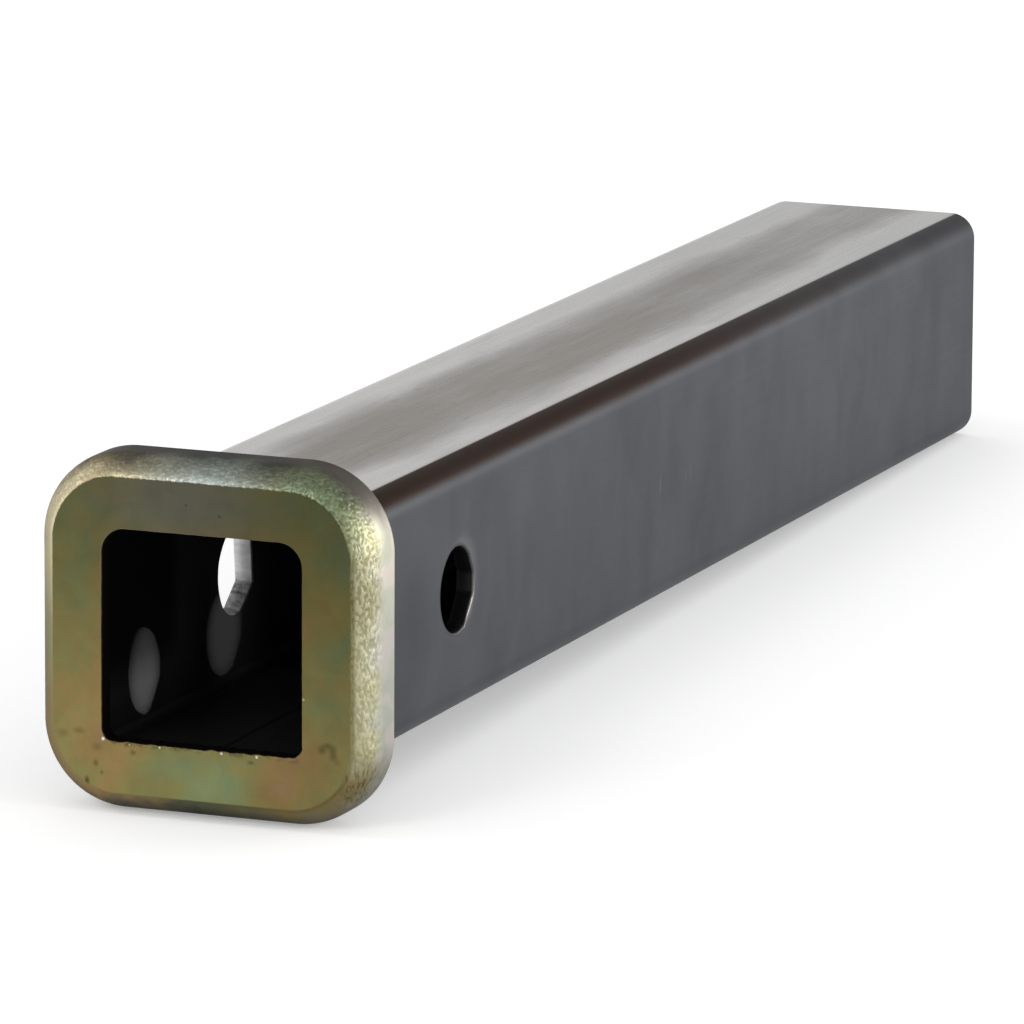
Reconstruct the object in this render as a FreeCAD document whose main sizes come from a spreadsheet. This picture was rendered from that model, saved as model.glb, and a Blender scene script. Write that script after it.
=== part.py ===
import FreeCAD, Part
import math
import os
import Sketcher

# Square receiver tube for a small hitch, in millimetres.
# +Z is up, +Y runs back along the tube, +X is to the right of someone facing the open end.
# The origin is where the pin hole's axis crosses the tube's axis.

DIMENSIONS = [
    # the tube: welded square section, cut square at both ends
    ("tube_outside", 41.275, "outside width and height of the square tube"),
    ("tube_wall", 3.175, "wall thickness"),
    ("tube_corner_radius", 4.5, "outside radius of the rolled corners"),
    ("tube_bend_radius", 1.4, "inside radius of the rolled corners"),
    ("tube_length", 304.8, "cut length"),
    # the bead that the seam weld leaves along the middle of the lower inside wall
    ("seam_width", 1.8, "width of the inside weld bead"),
    ("seam_height", 0.3, "height of the bead above the inside wall"),
    ("seam_root", 1.0, "depth to which the bead is fused into the wall"),
    # the cross hole for the hitch pin
    ("pin_hole_diameter", 13.8, "through both side walls, for a 12.7 mm pin"),
    ("pin_hole_setback", 50.8, "from the tube's front end to the hole's centre"),
    ("hole_edge_break", 0.4, "deburred edge of the hole outside"),
    ("hole_flare", 0.5, "how much wider in radius the hole breaks out at the inside"),
    ("hole_flare_depth", 1.6, "depth of that break-out, from the inside wall"),
    # the collar: a forging, faced in front, that caps the tube's front end
    ("collar_wall", 7.05, "metal around the socket"),
    ("collar_depth", 10.0, "from the faced front to the back"),
    ("collar_corner_radius", 13.8, "outside corners seen from the front"),
    ("forge_radius", 5.8, "rolled front edge of the forging"),
    ("facing_cut", 0.6, "taken off the front, so that the rolled edge ends sharp"),
    ("back_edge_radius", 0.5, "outer edge at the back"),
    ("lip_thickness", 3.2, "metal in front of the tube's end"),
    ("lip_step", 0.66, "how far the lip stands in from the tube's inside wall"),
    ("socket_clearance", 0.5, "between the tube and the socket, each side"),
    # the opening's corners are uneven, as forged
    ("opening_top_radius", 3.9, "both upper corners of the opening"),
    ("opening_low_radius", 1.3, "lower left corner of the opening"),
    ("opening_corner_cut", 1.6, "slanted lower right corner of the opening"),
    # the fillet weld round the tube, behind the collar
    ("weld_leg", 4.0, "both legs of the weld, on the tube and on the collar"),
    ("weld_toe", 0.6, "thickness of the bead where it meets the metal"),
]


def cell(name):
    return "<<Dimensions>>." + name


# half widths that the outlines share
tube_half = f"({cell('tube_outside')} / 2)"
bore_half = f"({tube_half} - {cell('tube_wall')})"
socket_half = f"({tube_half} + {cell('socket_clearance')})"
collar_half = f"({socket_half} + {cell('collar_wall')})"
opening_half = f"({bore_half} - {cell('lip_step')})"


def make_sheet(doc):
    sheet = doc.addObject("Spreadsheet::Sheet", "Dimensions")
    sheet.Label = "Dimensions"
    for row, (alias, value, note) in enumerate(DIMENSIONS, start=1):
        sheet.set(f"A{row}", alias)
        sheet.set(f"B{row}", str(value))
        sheet.set(f"C{row}", note)
        sheet.setAlias(f"B{row}", alias)
    doc.recompute()


def add_body(doc, label, front, rise="0"):
    # the body's own origin is the middle of its front end
    body = doc.addObject("PartDesign::Body", label)
    body.Label = label
    body.setExpression("Placement.Base.y", f"-({front})")
    body.setExpression("Placement.Base.z", rise)
    return body


def add_sketch(body, name, role="XZ_Plane", step_back=None):
    sketch = body.newObject("Sketcher::SketchObject", name)
    plane = next(p for p in body.Origin.OriginFeatures if p.Role == role)
    sketch.AttachmentSupport = [(plane, "")]
    sketch.MapMode = "FlatFace"
    if step_back is not None:
        # the XZ plane looks forward, so a step back is negative along its normal
        sketch.setExpression("AttachmentOffset.Base.z", f"-({step_back})")
    return sketch


def bind(sketch, name, expression, kind, *elements):
    # a named dimension of the sketch, drawn at its value and tied to the sheet
    value = float(sketch.evalExpression(expression))
    sketch.addConstraint(Sketcher.Constraint(kind, *elements, value))
    sketch.renameConstraint(sketch.ConstraintCount - 1, name)
    sketch.setExpression("Constraints." + name, expression)


def add_square(sketch, half, corners):
    # A square about the axis. The corners go round from the lower right one, turning left,
    # each a form, round or cut, with the expression of its radius or leg.
    reach = float(sketch.evalExpression(half))
    towards = [(1, -1), (1, 1), (-1, 1), (-1, -1)]
    pieces = []
    for number, (form, leg) in enumerate(corners):
        size = float(sketch.evalExpression(leg))
        right, up = towards[number]
        centre = FreeCAD.Vector(right * (reach - size), up * (reach - size), 0)
        begin = math.radians(90 * (number - 1))
        end = begin + math.radians(90)
        circle = Part.Circle(centre, FreeCAD.Vector(0, 0, 1), size)
        arc = Part.ArcOfCircle(circle, begin, end)
        if form == "round":
            pieces.append((form, sketch.addGeometry(arc, False), arc))
        else:
            cut = Part.LineSegment(arc.StartPoint, arc.EndPoint)
            pieces.append((form, sketch.addGeometry(cut, False), cut))
    sides = []
    for number in range(4):
        start = pieces[number][2].EndPoint
        finish = pieces[(number + 1) % 4][2].StartPoint
        sides.append(sketch.addGeometry(Part.LineSegment(start, finish), False))
    right_side, top_side, left_side, bottom_side = sides
    for number, (form, corner, _) in enumerate(pieces):
        joint = "Tangent" if form == "round" else "Coincident"
        sketch.addConstraint(Sketcher.Constraint(joint, sides[number - 1], 2, corner, 1))
        sketch.addConstraint(Sketcher.Constraint(joint, corner, 2, sides[number], 1))
    for side in (right_side, left_side):
        sketch.addConstraint(Sketcher.Constraint("Vertical", side))
    for side in (top_side, bottom_side):
        sketch.addConstraint(Sketcher.Constraint("Horizontal", side))
    bind(sketch, "to_right", half, "DistanceX", -1, 1, right_side, 1)
    bind(sketch, "to_top", half, "DistanceY", -1, 1, top_side, 1)
    bind(sketch, "to_left", half, "DistanceX", left_side, 1, -1, 1)
    bind(sketch, "to_bottom", half, "DistanceY", bottom_side, 1, -1, 1)
    for number, (form, corner, _) in enumerate(pieces):
        leg = corners[number][1]
        if form == "round":
            bind(sketch, f"radius_{number}", leg, "Radius", corner)
        else:
            across = (corner, 1, corner, 2)
            bind(sketch, f"across_{number}", leg, "DistanceX", *across)
            bind(sketch, f"upward_{number}", leg, "DistanceY", *across)


def add_pad(body, name, sketch, length):
    # runs back along the tube
    pad = body.newObject("PartDesign::Pad", name)
    pad.Profile = sketch
    pad.Reversed = True
    pad.setExpression("Length", length)
    body.Document.recompute()
    return pad


def add_pocket(body, name, sketch, length, forward=False):
    # cuts back from its sketch, or forward out of the front
    before = body.Shape.Volume
    pocket = body.newObject("PartDesign::Pocket", name)
    pocket.Profile = sketch
    pocket.Reversed = forward
    pocket.setExpression("Length", length)
    body.Document.recompute()
    assert body.Shape.Volume < before, f"{name} removes nothing"
    return pocket


def edges_where(feature, test):
    names = []
    for number, edge in enumerate(feature.Shape.Edges, start=1):
        if test(edge):
            names.append(f"Edge{number}")
    return names


def lies_at(edge, depth):
    return abs(edge.BoundBox.YMin - depth) < 1e-5 and abs(edge.BoundBox.YMax - depth) < 1e-5


def make_tube(doc):
    body = add_body(doc, "square_tube", cell("pin_hole_setback"))
    section = add_sketch(body, "TubeOutside")
    add_square(section, tube_half, [("round", cell("tube_corner_radius"))] * 4)
    add_pad(body, "TubeBlank", section, cell("tube_length"))

    bore = add_sketch(body, "TubeInside")
    add_square(bore, bore_half, [("round", cell("tube_bend_radius"))] * 4)
    add_pocket(body, "TubeBore", bore, cell("tube_length"))

    make_seam(body)
    make_pin_hole(body)
    return body


def make_seam(body):
    # a flat crown on the lower inside wall, with a root inside the metal
    sketch = add_sketch(body, "SeamBead")
    width = cell("seam_width")
    height = cell("seam_height")
    half = float(sketch.evalExpression(f"{width} / 2"))
    rise = float(sketch.evalExpression(height))
    floor = -float(sketch.evalExpression(bore_half))
    root = floor - float(sketch.evalExpression(cell("seam_root")))
    left = FreeCAD.Vector(-half, floor, 0)
    right = FreeCAD.Vector(half, floor, 0)
    top = FreeCAD.Vector(0, floor + rise, 0)
    low_left = FreeCAD.Vector(-half, root, 0)
    low_right = FreeCAD.Vector(half, root, 0)
    crown = sketch.addGeometry(Part.Arc(right, top, left), False)
    left_side = sketch.addGeometry(Part.LineSegment(left, low_left), False)
    under = sketch.addGeometry(Part.LineSegment(low_left, low_right), False)
    right_side = sketch.addGeometry(Part.LineSegment(low_right, right), False)
    outline = [crown, left_side, under, right_side]
    for number, piece in enumerate(outline):
        following = outline[(number + 1) % 4]
        sketch.addConstraint(Sketcher.Constraint("Coincident", piece, 2, following, 1))
    sketch.addConstraint(Sketcher.Constraint("Vertical", left_side))
    sketch.addConstraint(Sketcher.Constraint("Vertical", right_side))
    sketch.addConstraint(Sketcher.Constraint("Horizontal", under))
    bind(sketch, "to_left", f"{width} / 2", "DistanceX", left_side, 1, -1, 1)
    bind(sketch, "to_right", f"{width} / 2", "DistanceX", -1, 1, right_side, 1)
    bind(sketch, "to_floor", bore_half, "DistanceY", crown, 2, -1, 1)
    bind(sketch, "level_floor", bore_half, "DistanceY", crown, 1, -1, 1)
    bind(sketch, "root", cell("seam_root"), "DistanceY", left_side, 2, left_side, 1)
    crown_radius = f"(({width} / 2) * ({width} / 2) + {height} * {height}) / (2 * {height})"
    bind(sketch, "crown_radius", crown_radius, "Radius", crown)
    add_pad(body, "Seam", sketch, cell("tube_length"))


def make_pin_hole(body):
    # punched from outside through both side walls, with the outer rims deburred
    sketch = add_sketch(body, "PinHoleCircle", "YZ_Plane")
    radius = f"{cell('pin_hole_diameter')} / 2"
    start = float(sketch.evalExpression(radius))
    setback = float(sketch.evalExpression(cell("pin_hole_setback")))
    centre = FreeCAD.Vector(setback, 0, 0)
    ring = sketch.addGeometry(Part.Circle(centre, FreeCAD.Vector(0, 0, 1), start), False)
    bind(sketch, "setback", cell("pin_hole_setback"), "DistanceX", -1, 1, ring, 3)
    sketch.addConstraint(Sketcher.Constraint("PointOnObject", ring, 3, -1))
    bind(sketch, "radius", radius, "Radius", ring)

    before = body.Shape.Volume
    punch = body.newObject("PartDesign::Pocket", "PinHole")
    punch.Profile = sketch
    punch.SideType = "Symmetric"
    punch.setExpression("Length", f"2 * {cell('tube_outside')}")
    body.Document.recompute()
    assert body.Shape.Volume < before, "PinHole removes nothing"

    break_out = make_break_out(body, radius)
    outside = float(sketch.evalExpression(tube_half))
    rims = edges_where(
        break_out,
        lambda edge: isinstance(edge.Curve, Part.Circle)
        and edge.BoundBox.XLength < 1e-5
        and abs(abs(edge.BoundBox.XMin) - outside) < 1e-5,
    )
    deburr = body.newObject("PartDesign::Chamfer", "PinHoleDeburr")
    deburr.Base = (break_out, rims)
    deburr.setExpression("Size", cell("hole_edge_break"))
    body.Document.recompute()


def make_break_out(body, radius):
    # The punched metal tears wider towards the inside: a spool about the hole's axis takes it off
    # both walls at once, and is empty space between them.
    sketch = add_sketch(body, "BreakOutProfile", "XY_Plane")
    inner = bore_half
    deep = f"({bore_half} + {cell('hole_flare_depth')})"
    flare = cell("hole_flare")
    axis_y = float(sketch.evalExpression(cell("pin_hole_setback")))
    land_y = axis_y + float(sketch.evalExpression(radius))
    mouth_y = land_y + float(sketch.evalExpression(flare))
    inner_x = float(sketch.evalExpression(inner))
    deep_x = float(sketch.evalExpression(deep))
    corners = [
        (-deep_x, axis_y),
        (-deep_x, land_y),
        (-inner_x, mouth_y),
        (inner_x, mouth_y),
        (deep_x, land_y),
        (deep_x, axis_y),
    ]
    lines = []
    for number, (x, y) in enumerate(corners):
        to_x, to_y = corners[(number + 1) % 6]
        start = FreeCAD.Vector(x, y, 0)
        lines.append(sketch.addGeometry(Part.LineSegment(start, FreeCAD.Vector(to_x, to_y, 0)), False))
    for number, line in enumerate(lines):
        following = lines[(number + 1) % 6]
        sketch.addConstraint(Sketcher.Constraint("Coincident", line, 2, following, 1))
    left_end, left_flare, mouth, right_flare, right_end, on_axis = lines
    for line in (left_end, right_end):
        sketch.addConstraint(Sketcher.Constraint("Vertical", line))
    for line in (mouth, on_axis):
        sketch.addConstraint(Sketcher.Constraint("Horizontal", line))
    bind(sketch, "axis_back", cell("pin_hole_setback"), "DistanceY", -1, 1, left_end, 1)
    bind(sketch, "left_deep", deep, "DistanceX", left_end, 1, -1, 1)
    bind(sketch, "right_deep", deep, "DistanceX", -1, 1, right_end, 1)
    bind(sketch, "left_inner", inner, "DistanceX", mouth, 1, -1, 1)
    bind(sketch, "right_inner", inner, "DistanceX", -1, 1, mouth, 2)
    bind(sketch, "left_land", radius, "DistanceY", left_end, 1, left_end, 2)
    bind(sketch, "right_land", radius, "DistanceY", right_end, 2, right_end, 1)
    bind(sketch, "flare", flare, "DistanceY", left_flare, 1, left_flare, 2)

    before = body.Shape.Volume
    groove = body.newObject("PartDesign::Groove", "BreakOut")
    groove.Profile = sketch
    groove.ReferenceAxis = (sketch, ["Edge6"])
    groove.Angle = 360
    body.Document.recompute()
    assert body.Shape.Volume < before, "BreakOut removes nothing"
    return groove


def make_collar(doc):
    # the tube lies on the socket's floor, so the collar's middle is above the tube's
    front = f"{cell('pin_hole_setback')} + {cell('lip_thickness')}"
    body = add_body(doc, "reinforcing_collar", front, rise=cell("socket_clearance"))
    make_forging(body)

    opening = add_sketch(body, "Opening")
    upper = ("round", cell("opening_top_radius"))
    lower_left = ("round", cell("opening_low_radius"))
    lower_right = ("cut", cell("opening_corner_cut"))
    add_square(opening, opening_half, [lower_right, upper, upper, lower_left])
    add_pocket(body, "OpeningCut", opening, cell("collar_depth"))

    # the socket stops at the lip, which the tube's end butts against
    socket = add_sketch(body, "Socket", step_back=cell("lip_thickness"))
    rounding = f"{cell('tube_corner_radius')} + {cell('socket_clearance')}"
    add_square(socket, socket_half, [("round", rounding)] * 4)
    add_pocket(body, "SocketCut", socket, cell("collar_depth"))
    return body


def make_forging(body):
    # The blank stands proud of the finished front by the facing cut. Its front edge is rolled,
    # and facing it leaves a flat with a crisp edge inside a crowned band.
    proud = cell("facing_cut")
    outline = add_sketch(body, "ForgingOutline", step_back=f"-{proud}")
    add_square(outline, collar_half, [("round", cell("collar_corner_radius"))] * 4)
    blank = add_pad(body, "Forging", outline, f"{cell('collar_depth')} + {proud}")

    blank_front = blank.Shape.BoundBox.YMin
    rolled = body.newObject("PartDesign::Fillet", "RolledFrontEdge")
    rolled.Base = (blank, edges_where(blank, lambda edge: lies_at(edge, blank_front)))
    rolled.setExpression("Radius", cell("forge_radius"))
    body.Document.recompute()

    blank_back = rolled.Shape.BoundBox.YMax
    eased = body.newObject("PartDesign::Fillet", "BackEdge")
    eased.Base = (rolled, edges_where(rolled, lambda edge: lies_at(edge, blank_back)))
    eased.setExpression("Radius", cell("back_edge_radius"))
    body.Document.recompute()

    face = add_sketch(body, "FacedFront")
    add_square(face, f"({collar_half} + {proud})", [("round", cell("collar_corner_radius"))] * 4)
    add_pocket(body, "Facing", face, f"2 * {proud}", forward=True)


def make_weld(doc):
    # a crowned fillet weld that holds the collar on the tube, hidden from the front
    front = f"{cell('pin_hole_setback')} + {cell('lip_thickness')} - {cell('collar_depth')}"
    body = add_body(doc, "collar_weld", front)
    leg = cell("weld_leg")
    toe = cell("weld_toe")
    outline = add_sketch(body, "WeldOutline")
    rounding = f"{cell('tube_corner_radius')} + {leg}"
    add_square(outline, f"({tube_half} + {leg})", [("round", rounding)] * 4)
    block = add_pad(body, "WeldBlock", outline, leg)

    leg_end = block.Shape.BoundBox.YMax
    slope = body.newObject("PartDesign::Chamfer", "WeldSlope")
    slope.Base = (block, edges_where(block, lambda edge: lies_at(edge, leg_end)))
    slope.setExpression("Size", f"{leg} - {toe}")
    body.Document.recompute()

    toe_end = float(outline.evalExpression(toe))
    crown = body.newObject("PartDesign::Fillet", "WeldCrown")
    rims = edges_where(slope, lambda edge: lies_at(edge, toe_end) or lies_at(edge, leg_end))
    crown.Base = (slope, rims)
    # the two bends of 45 degrees take a radius of up to 2.4 times the toe
    crown.setExpression("Radius", f"2.2 * {toe}")
    body.Document.recompute()

    tube_outline = add_sketch(body, "WeldInside")
    add_square(tube_outline, tube_half, [("round", cell("tube_corner_radius"))] * 4)
    add_pocket(body, "WeldOpening", tube_outline, leg)
    return body


def check(doc, bodies):
    for item in doc.Objects:
        bad = [state for state in item.State if state in ("Invalid", "Error")]
        assert not bad, f"{item.Label}: {item.State}"
    for body in bodies:
        assert not body.Shape.isNull(), f"{body.Label} is empty"
        assert body.Shape.isValid(), f"{body.Label} is not a valid solid"
        assert len(body.Shape.Solids) == 1, f"{body.Label} is not one solid"


def main():
    doc = FreeCAD.newDocument("ReceiverTube")
    make_sheet(doc)
    bodies = [make_tube(doc), make_collar(doc), make_weld(doc)]
    doc.recompute()
    check(doc, bodies)
    os.makedirs("parts", exist_ok=True)
    for body in bodies:
        body.Shape.exportStep(f"parts/{body.Label}.step")
        box = body.Shape.BoundBox
        size = f"{box.XLength:.2f} x {box.YLength:.2f} x {box.ZLength:.2f}"
        print(f"{body.Label}: {size} mm, {body.Shape.Volume:.0f} mm3, front at {box.YMin:.2f}")


main()
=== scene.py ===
import math

import bmesh
import bpy
from mathutils import Euler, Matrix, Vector, noise


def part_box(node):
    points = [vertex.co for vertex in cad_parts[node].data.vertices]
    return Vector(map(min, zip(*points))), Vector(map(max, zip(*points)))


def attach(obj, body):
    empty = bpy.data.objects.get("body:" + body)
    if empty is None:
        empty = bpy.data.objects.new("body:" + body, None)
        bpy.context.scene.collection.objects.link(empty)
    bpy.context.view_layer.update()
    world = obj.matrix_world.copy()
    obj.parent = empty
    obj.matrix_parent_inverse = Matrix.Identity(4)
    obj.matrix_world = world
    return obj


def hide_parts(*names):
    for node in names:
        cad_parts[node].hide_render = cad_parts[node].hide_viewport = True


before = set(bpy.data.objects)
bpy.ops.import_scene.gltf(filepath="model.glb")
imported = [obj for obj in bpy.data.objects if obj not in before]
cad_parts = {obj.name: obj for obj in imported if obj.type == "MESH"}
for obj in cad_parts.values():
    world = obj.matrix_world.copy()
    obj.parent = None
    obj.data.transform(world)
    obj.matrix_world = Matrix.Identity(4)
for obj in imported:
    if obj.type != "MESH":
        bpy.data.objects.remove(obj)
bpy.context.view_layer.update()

# Steel receiver tube with a forged collar, dressed for a studio picture.
# Metres, +Y back along the tube, +Z up.

mm = 0.001
scene = bpy.context.scene
tubeLow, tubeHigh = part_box("square_tube")
collarLow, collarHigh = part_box("reinforcing_collar")
weldLow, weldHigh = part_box("collar_weld")
overrun = 2 * mm         # how far a cutter reaches past what it cuts
margin = 1 * mm          # how far outside an opening its edges are looked for
samePlace = 0.005 * mm   # two places closer than this count as one
mergeReach = 0.002 * mm
longShare = 0.9          # an edge longer than this share of a side is a side


# ---- small helpers for modelling
def pickObject(piece):
    bpy.ops.object.select_all(action="DESELECT")
    piece.select_set(True)
    bpy.context.view_layer.objects.active = piece


def startEdit(piece, kind="EDGE"):
    pickObject(piece)
    bpy.ops.object.mode_set(mode="EDIT")
    bpy.ops.mesh.select_mode(type=kind)
    bpy.ops.mesh.select_all(action="DESELECT")


def endEdit():
    bpy.ops.object.mode_set(mode="OBJECT")


def pickEdges(piece, test):
    # test gets the two ends of each edge
    mesh = bmesh.from_edit_mesh(piece.data)
    for edge in mesh.edges:
        edge.select_set(test(edge.verts[0].co, edge.verts[1].co))
    bmesh.update_edit_mesh(piece.data)


def near(a, b):
    return abs(a - b) < samePlace


def onPlane(axis, place):
    return lambda a, b: near(a[axis], place) and near(b[axis], place)


def alongAxis(axis, least=0):
    # edges that run along one axis and are longer than least
    others = [n for n in range(3) if n != axis]
    return lambda a, b: (
        all(near(a[n], b[n]) for n in others) and abs(a[axis] - b[axis]) > least
    )


def addBlock(name, low, high):
    bpy.ops.object.select_all(action="DESELECT")
    bpy.ops.mesh.primitive_cube_add(size=1, location=(low + high) / 2, scale=high - low)
    block = bpy.context.object
    block.name = name
    block.data.name = name
    bpy.ops.object.transform_apply(location=True, rotation=True, scale=True)
    return block


def bevelPicked(width, steps, profile=0.5):
    bpy.ops.mesh.bevel(
        offset=width, offset_type="OFFSET", segments=steps, profile=profile,
        affect="EDGES", clamp_overlap=False,
    )


def applyModifier(piece, modifier):
    pickObject(piece)
    bpy.ops.object.modifier_apply(modifier=modifier.name)


def cutAway(piece, cutter, operation="DIFFERENCE"):
    boolean = piece.modifiers.new(operation.title(), "BOOLEAN")
    boolean.operation = operation
    boolean.solver = "EXACT"
    boolean.object = cutter
    applyModifier(piece, boolean)
    bpy.data.objects.remove(cutter, do_unlink=True)


def smoothBy(piece, degrees):
    pickObject(piece)
    bpy.ops.object.shade_smooth_by_angle(angle=math.radians(degrees))


def keepFlats(piece):
    # big flat faces keep their own normals right up to their bevels
    weighted = piece.modifiers.new("Weighted", "WEIGHTED_NORMAL")
    weighted.keep_sharp = True
    applyModifier(piece, weighted)


def tidyMesh(piece):
    startEdit(piece, "VERT")
    bpy.ops.mesh.select_all(action="SELECT")
    bpy.ops.mesh.remove_doubles(threshold=mergeReach)
    bpy.ops.mesh.normals_make_consistent(inside=False)
    endEdit()


def countTriangles(piece):
    return sum(len(face.vertices) - 2 for face in piece.data.polygons)


def smoothStep(low, high, value):
    t = min(1.0, max(0.0, (value - low) / (high - low)))
    return t * t * (3 - 2 * t)


# ---- small helpers for materials
def newMaterial(name):
    material = bpy.data.materials.new(name)
    material.use_nodes = True
    tree = material.node_tree
    return material, tree, tree.nodes["Principled BSDF"]


def addNode(tree, kind, settings=None, **inputs):
    # an input goes by its name, or by its number as i0, i1 and so on
    node = tree.nodes.new(kind)
    for key, value in (settings or {}).items():
        setattr(node, key, value)
    for key, value in inputs.items():
        byNumber = key[0] == "i" and key[1:].isdigit()
        socket = node.inputs[int(key[1:]) if byNumber else key]
        if isinstance(value, bpy.types.NodeSocket):
            tree.links.new(value, socket)
        else:
            socket.default_value = value
    return node


def calc(tree, operation, first, second=0.0, third=0.0, clamp=False):
    node = addNode(tree, "ShaderNodeMath", {"operation": operation, "use_clamp": clamp},
                   i0=first, i1=second, i2=third)
    return node.outputs[0]


def times(tree, first, *others):
    for other in others:
        first = calc(tree, "MULTIPLY", first, other)
    return first


def plus(tree, first, second):
    return calc(tree, "ADD", first, second)


def scaled(tree, value, factor, offset, clamp=False):
    # value times factor plus offset
    return calc(tree, "MULTIPLY_ADD", value, factor, offset, clamp)


def around(tree, value, factor, offset, clamp=False):
    # the same with a value that swings about a half
    return scaled(tree, calc(tree, "SUBTRACT", value, 0.5), factor, offset, clamp)


def absolute(tree, value):
    return calc(tree, "ABSOLUTE", value)


def larger(tree, first, second):
    return calc(tree, "MAXIMUM", first, second)


def fade(tree, value, start, end, low=0.0, high=1.0):
    # smooth step from low to high as value goes from start to end
    node = addNode(tree, "ShaderNodeMapRange", {"interpolation_type": "SMOOTHSTEP"},
                   i0=value, i1=start, i2=end, i3=low, i4=high)
    return node.outputs[0]


def withAlpha(value):
    return (*value, 1) if isinstance(value, tuple) else value


def blend(tree, factor, first, second, mode="MIX"):
    node = addNode(tree, "ShaderNodeMix", {"data_type": "RGBA", "blend_type": mode},
                   i0=factor, i6=withAlpha(first), i7=withAlpha(second))
    return node.outputs[2]


def tinted(tree, colour, tone, factor=None):
    # colour times tone, all over or where factor is 1
    full = blend(tree, 1.0, colour, tone, "MULTIPLY")
    return full if factor is None else blend(tree, factor, colour, full)


def mapped(tree, place, scale=(1, 1, 1), turn=(0, 0, 0), move=(0, 0, 0)):
    node = addNode(tree, "ShaderNodeMapping", None, Vector=place, Location=move,
                   Rotation=turn, Scale=scale)
    return node.outputs[0]


def cloud(tree, place, size, detail=3, roughness=0.5, distortion=0.0, **mapping):
    # noise from 0 to 1 whose blobs are about size millimetres across
    if mapping:
        place = mapped(tree, place, **mapping)
    node = addNode(tree, "ShaderNodeTexNoise", None, Vector=place, Scale=1 / (size * mm),
                   Detail=detail, Roughness=roughness, Distortion=distortion)
    return node.outputs["Fac"]


def colours(tree, value, stops):
    node = addNode(tree, "ShaderNodeValToRGB", None, Fac=value)
    ramp = node.color_ramp
    ramp.interpolation = "LINEAR"   # the others clip tones above 1
    while len(ramp.elements) < len(stops):
        ramp.elements.new(0.5)
    for element, (place, colour) in zip(ramp.elements, stops):
        element.position = place
        element.color = (*colour, 1)
    return node.outputs["Color"]


def objectPlace(tree, kind="Object"):
    place = addNode(tree, "ShaderNodeTexCoord").outputs[kind]
    parts = addNode(tree, "ShaderNodeSeparateXYZ", None, Vector=place)
    return place, *parts.outputs


def spot(tree, place, centre, radius, stretch=(1, 1, 1)):
    # 1 at the centre, fading to 0 at the radius
    shift = addNode(tree, "ShaderNodeVectorMath", {"operation": "SUBTRACT"},
                    i0=place, i1=centre)
    squeeze = addNode(tree, "ShaderNodeVectorMath", {"operation": "DIVIDE"},
                      i0=shift.outputs[0], i1=stretch)
    length = addNode(tree, "ShaderNodeVectorMath", {"operation": "LENGTH"},
                     i0=squeeze.outputs[0])
    return fade(tree, length.outputs["Value"], 0.0, radius, 1.0, 0.0)


def bump(tree, height, depth, strength):
    node = addNode(tree, "ShaderNodeBump", None,
                   Height=height, Distance=depth, Strength=strength)
    return node.outputs[0]


def readers(tree, place, look):
    # two short ways to read a look: a cloud, and a fade in millimetres from an origin
    def texture(name):
        return cloud(tree, place, **look[name])

    def over(value, name, origin=0):
        start, end, *levels = look[name]
        return fade(tree, value, origin + start * mm, origin + end * mm, *levels)

    return texture, over


def connect(tree, shader, colour, rough, normal, metallic):
    for name, value in (("Base Color", colour), ("Roughness", rough), ("Normal", normal)):
        tree.links.new(value, shader.inputs[name])
    shader.inputs["Metallic"].default_value = metallic


# ---- the camera, from the photograph's view
cameraView = {
    "azimuth": 21.629, "elevation": 11.598, "roll": 0.318,
    "distance": 1.3434, "lens": 307.45,
    # from the middle of the collar's front, on the tube's axis
    "aimRight": 0.04778, "aimUp": 0.02064,
    "sensor": 36, "farthest": 50,
}


def makeCamera():
    view = cameraView
    tilt = math.radians(90 - view["elevation"])
    turn = Euler((tilt, 0, math.radians(view["azimuth"])))
    turn.rotate_axis("Z", math.radians(view["roll"]))
    axes = turn.to_matrix()
    start = Vector((0, collarLow.y, 0))
    place = start + axes @ Vector((view["aimRight"], view["aimUp"], view["distance"]))
    bpy.ops.object.camera_add(location=place, rotation=turn)
    camera = bpy.context.object
    camera.name = "photoCamera"
    camera.data.lens = view["lens"]
    camera.data.sensor_width = view["sensor"]
    camera.data.clip_end = view["farthest"]
    scene.camera = camera


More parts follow.
